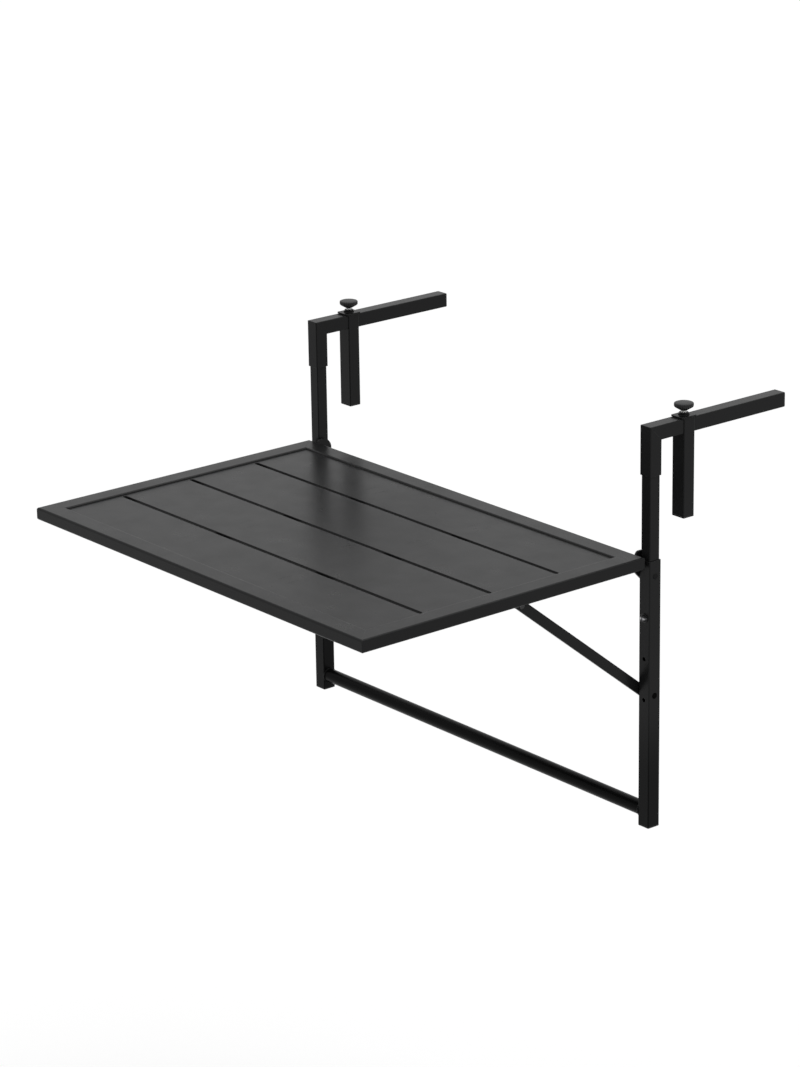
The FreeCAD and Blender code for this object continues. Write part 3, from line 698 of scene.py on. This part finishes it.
for side in SIDES:
    dress(satin_coat, side + "_clamp_leg", side + "_saddle_plate")
    low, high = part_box(side + "_thumb_nut")
    centre = (low + high) / 2
    reach = (high.x - low.x) / 2
    nut = nut_mesh(low, high)
    body = side + "_clamp"
    weld_nut = finish_piece(nut, side + "_weld_nut", satin_coat, body, NUT_SMOOTH_BELOW)
    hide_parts(side + "_thumb_nut")

    clamp_welds = bmesh.new()
    nut_foot = Vector((centre.x, centre.y, low.z))
    lay_ring_bead(clamp_welds, nut_foot, UPWARDS, reach * NUT_BEAD_REACH, NUT_BEAD)
    low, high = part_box(side + "_clamp_leg")
    for x in (low.x, high.x):
        start = Vector((x, low.y + PLATE_BEAD_END, high.z))
        end = Vector((x, high.y - PLATE_BEAD_END, high.z))
        lay_bead(clamp_welds, start, end, PLATE_BEAD)
    finish_piece(clamp_welds, side + "_clamp_welds", bead_coat, body)


# Thumb screws and knobs
# A zinc-plated M6 screw with a rolled thread is moulded into a mushroom knob of hard black plastic,
# whose rim has fine shallow flutes for the fingers.

THREAD_PITCH = 0.001
THREAD_DEPTH = 0.00061
THREAD_ROOT = 1.2
THREAD_FOOT = 0.00004
THREAD_CREST = (0.00042, 0.00054)
THREAD_END = 0.00092
THREAD_STEPS = 24
CORE_SIDES = 48


def thread_mesh(low, high):
    """Screw that fills a box: a round core with a ridge wound round it."""
    centre = (low + high) / 2
    outer = (high.x - low.x) / 2
    core = outer - THREAD_DEPTH
    root = outer - THREAD_DEPTH * THREAD_ROOT
    turns = int((high.z - low.z) / THREAD_PITCH) - 1
    screw = bmesh.new()
    bmesh.ops.create_cone(
        screw,
        cap_ends=True,
        segments=CORE_SIDES,
        radius1=core,
        radius2=core,
        depth=high.z - low.z,
        matrix=Matrix.Translation(centre),
    )
    outline = ((root, THREAD_FOOT), (outer, THREAD_CREST[0]), (outer, THREAD_CREST[1]), (root, THREAD_END))
    ridge = [screw.verts.new((centre.x + radius, centre.y, low.z + rise)) for radius, rise in outline]
    bmesh.ops.spin(
        screw,
        geom=[screw.faces.new(ridge)],
        cent=centre,
        axis=UPWARDS,
        dvec=(0, 0, THREAD_PITCH / THREAD_STEPS),
        angle=2 * math.pi * turns,
        steps=THREAD_STEPS * turns,
        use_duplicate=False,
    )
    return screw


KNOB_BORE = 0.0031
KNOB_NECK = 0.0042
KNOB_RADIUS = 0.0110
KNOB_RIM_FOOT = 0.0042
KNOB_RIM_TOP = 0.0074
KNOB_HEIGHT = 0.0090
KNOB_RIM_ROUND = 0.0012
KNOB_RIM_CUTS = 4
KNOB_CROWN_CUTS = 9
KNOB_CROWN_POWER = 2 / 3
KNOB_STEPS = 240
KNOB_SMOOTH_BELOW = 50.0
FLUTES = 30
FLUTE_DEPTH = 0.00035
FLUTE_INNER = 0.0098
FLUTE_WIDTH = 0.0012


def knob_outline():
    """Radius and rise of the points from bore to middle: a cone, a rounded rim and a nearly flat crown."""
    outline = [Vector((KNOB_BORE, 0)), Vector((KNOB_NECK, 0))]
    rim_foot = Vector((KNOB_RADIUS, KNOB_RIM_FOOT))
    down = (outline[-1] - rim_foot).normalized() * KNOB_RIM_ROUND
    up = Vector((0, KNOB_RIM_ROUND))
    for cut in range(KNOB_RIM_CUTS + 1):
        share = cut / KNOB_RIM_CUTS
        outline.append(rim_foot + down * (1 - share) ** 2 + up * share ** 2)
    for cut in range(KNOB_CROWN_CUTS + 1):
        turn = math.pi / 2 * cut / KNOB_CROWN_CUTS
        radius = KNOB_RADIUS * math.cos(turn) ** KNOB_CROWN_POWER
        rise = KNOB_RIM_TOP + (KNOB_HEIGHT - KNOB_RIM_TOP) * math.sin(turn) ** KNOB_CROWN_POWER
        outline.append(Vector((radius, rise)))
    return outline


def knob_mesh(low, high):
    """Knob that stands in a box: its outline spun round, with flutes pressed into the rim."""
    centre = (low + high) / 2
    knob = bmesh.new()
    points = [
        knob.verts.new((centre.x + radius, centre.y, low.z + rise))
        for radius, rise in knob_outline()
    ]
    outline = [knob.edges.new(ends) for ends in zip(points, points[1:])]
    bmesh.ops.spin(
        knob,
        geom=points + outline,
        cent=centre,
        axis=UPWARDS,
        angle=2 * math.pi,
        steps=KNOB_STEPS,
        use_merge=True,
    )
    bmesh.ops.remove_doubles(knob, verts=knob.verts[:], dist=MERGE)
    bmesh.ops.holes_fill(knob, edges=[edge for edge in knob.edges if edge.is_boundary])
    for vert in knob.verts:
        away = vert.co.xy - centre.xy
        share = max(0.0, (away.length - FLUTE_INNER) / FLUTE_WIDTH)
        if share > 0:
            turn = math.atan2(away.y, away.x)
            dent = FLUTE_DEPTH * share * (0.5 - 0.5 * math.cos(FLUTES * turn))
            vert.co.xy -= away.normalized() * dent
    return knob


PLASTIC_CLOUD_SCALE = 140.0
PLASTIC_CLOUD_DETAIL = 2.0
PLASTIC_SHEEN_DRIFT = 0.05
PLASTIC_EDGE_ROUND = 0.0004
GRAIN_SCALE = 2200.0
GRAIN_HEIGHT = 0.00004


def make_moulded_plastic(name, dark, light, sheen, specular, grain, levels=None):
    """Finely grained plastic whose shade drifts a little, or goes from dark to light between levels."""
    plastic = new_material(name)
    tree = plastic.node_tree
    place = piece_place(tree)
    cloud = noise(tree, place, PLASTIC_CLOUD_SCALE, PLASTIC_CLOUD_DETAIL)
    share = cloud
    if levels:
        share = carry(tree, add_node(tree, "SeparateXYZ", None, {0: place}).outputs["Z"], levels, WHOLE)
    skin = add_node(tree, "TexVoronoi", None, {"Vector": place, "Scale": GRAIN_SCALE})
    rounded = rounded_edges(tree, PLASTIC_EDGE_ROUND)
    drift = (sheen - PLASTIC_SHEEN_DRIFT, sheen + PLASTIC_SHEEN_DRIFT)
    surface(tree, {
        "Base Color": blend(tree, share, shaded(dark, 1.0), shaded(light, 1.0)),
        "Roughness": carry(tree, cloud, WHOLE, drift),
        "Specular IOR Level": specular,
        "Normal": relief(tree, skin.outputs["Distance"], grain, GRAIN_HEIGHT, rounded),
    })
    return plastic


knob_plastic = make_moulded_plastic(
    "knob_plastic",
    dark=(0.0125, 0.0125, 0.0130),
    light=(0.0165, 0.0165, 0.0170),
    sheen=0.42,
    specular=0.2,
    grain=0.3,
)
for side in SIDES:
    body = side + "_thumb_knob"
    low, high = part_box(side + "_thumb_screw")
    screw = thread_mesh(low, high)
    threaded = finish_piece(screw, side + "_threaded_screw", zinc_plate, body)
    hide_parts(side + "_thumb_screw")
    low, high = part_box(side + "_knob")
    knob = knob_mesh(low, high)
    grip = finish_piece(knob, side + "_grip_knob", knob_plastic, body, KNOB_SMOOTH_BELOW)
    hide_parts(side + "_knob")


# Plugs
# Injection-moulded black plastic with a fine matt grain. They are pressed into the tubes' ends and
# into the holes opposite the pivot pins. The caps by the hinges were coated over with the tubes, and
# those by the braces are deep black, a painted shade standing for the dark of open holes.

# Heights from the deep black brace caps, a painted shade, to the coat-toned hinge caps.
HOLE_SHADE_TO_COAT_LEVEL = (-0.28, -0.18)

plug_plastic = make_moulded_plastic(
    "plug_plastic",
    dark=(0.0105, 0.0105, 0.0110),
    light=(0.0145, 0.0145, 0.0150),
    sheen=0.5,
    specular=0.15,
    grain=0.4,
)
dress(plug_plastic, "arm_end_plugs", "inner_tube_glide_plugs", "upright_foot_plugs")
dress(plug_plastic, "left_leg_plug", "right_leg_plug")

painted_hole_shade_plastic = make_moulded_plastic(
    "painted_hole_shade_plastic",
    dark=(0.0010, 0.0010, 0.0011),
    light=(0.0190, 0.0190, 0.0195),
    sheen=0.6,
    specular=0.02,
    grain=0.4,
    levels=HOLE_SHADE_TO_COAT_LEVEL,
)
dress(painted_hole_shade_plastic, "pivot_hole_caps")
